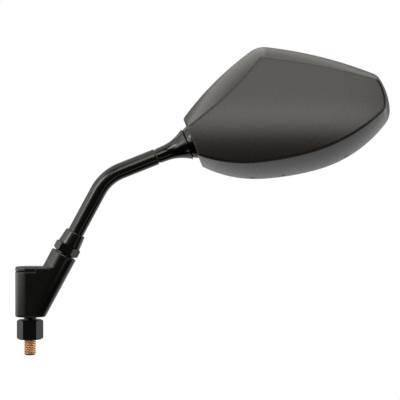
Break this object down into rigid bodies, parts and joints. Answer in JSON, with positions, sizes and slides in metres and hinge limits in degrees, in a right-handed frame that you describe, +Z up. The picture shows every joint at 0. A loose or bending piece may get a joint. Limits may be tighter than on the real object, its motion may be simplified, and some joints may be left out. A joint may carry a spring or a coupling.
{
  "type": "motorcycle mirror",
  "caption": "Left-hand rear-view mirror for a motorcycle: threaded stud, pivoting base block, bent tube arm, ball joint and faceted housing with convex glass.",
  "frame": {"origin": "on the stud axis at the underside of the hex adapter, where it seats on the clamp", "axes": "+Z up along the stud, +X along the arm to the head, -Y the side of the head that faces forward, +Y the glass side"},
  "size_m": [0.3148, 0.0434, 0.2587],
  "materials": {
    "zinc_stud": "yellow zinc plated",
    "black_steel": "black powder coat, satin gloss",
    "black_casting": "black coated casting, satin gloss",
    "plain_steel": "plain",
    "bronze": "plain",
    "acetal": "natural white",
    "gloss_black": "glossy",
    "black_moulding": "satin",
    "foam": "foam sheet",
    "mirror": "silvered"
  },
  "bodies": {
    "base": {"threaded_stud": "zinc_stud", "hex_adapter": "black_steel", "lower_washer": "acetal", "upper_washer": "plain_steel", "disc_springs": "plain_steel", "pivot_nut": "plain_steel"},
    "block": {"base_block": "black_casting", "pivot_bush": "bronze", "pivot_cap": "black_moulding", "arm_collet": "acetal", "arm_gland_nut": "black_steel"},
    "arm": {"arm_tube": "black_steel", "ball_stud": "plain_steel", "joint_cover": "gloss_black"},
    "liner": {"ball_liner": "acetal"},
    "cup": {"pressure_cup": "acetal"},
    "head": {"ball_socket": "gloss_black", "cup_springs": "plain_steel", "retainer_plate": "plain_steel", "retainer_screws": "plain_steel", "housing": "black_moulding", "glass_carrier": "black_moulding", "glass_pad": "foam", "mirror_glass": "mirror"}
  },
  "joints": [
    {"name": "base_pivot", "type": "hinge", "parent": "base", "child": "block", "pos_m": [0, 0, 0.03], "axis": [0, 0, 1], "range_deg": [-90, 90]},
    {"name": "arm_swivel", "type": "hinge", "parent": "block", "child": "arm", "pos_m": [0, 0, 0.0181], "axis": [0.4741, 0, 0.8805], "range_deg": [-45, 45]},
    {"name": "ball_pan", "type": "hinge", "parent": "arm", "child": "liner", "pos_m": [0.13905, 0, 0.16567], "axis": [-0.3714, 0, 0.9285], "range_deg": [-12, 12]},
    {"name": "ball_roll", "type": "hinge", "parent": "liner", "child": "cup", "pos_m": [0.13905, 0, 0.16567], "axis": [0, 1, 0], "range_deg": [-10, 10]},
    {"name": "head_tilt", "type": "hinge", "parent": "cup", "child": "head", "pos_m": [0.13905, 0, 0.16567], "axis": [0.9285, 0, 0.3714], "range_deg": [-25, 25]}
  ]
}
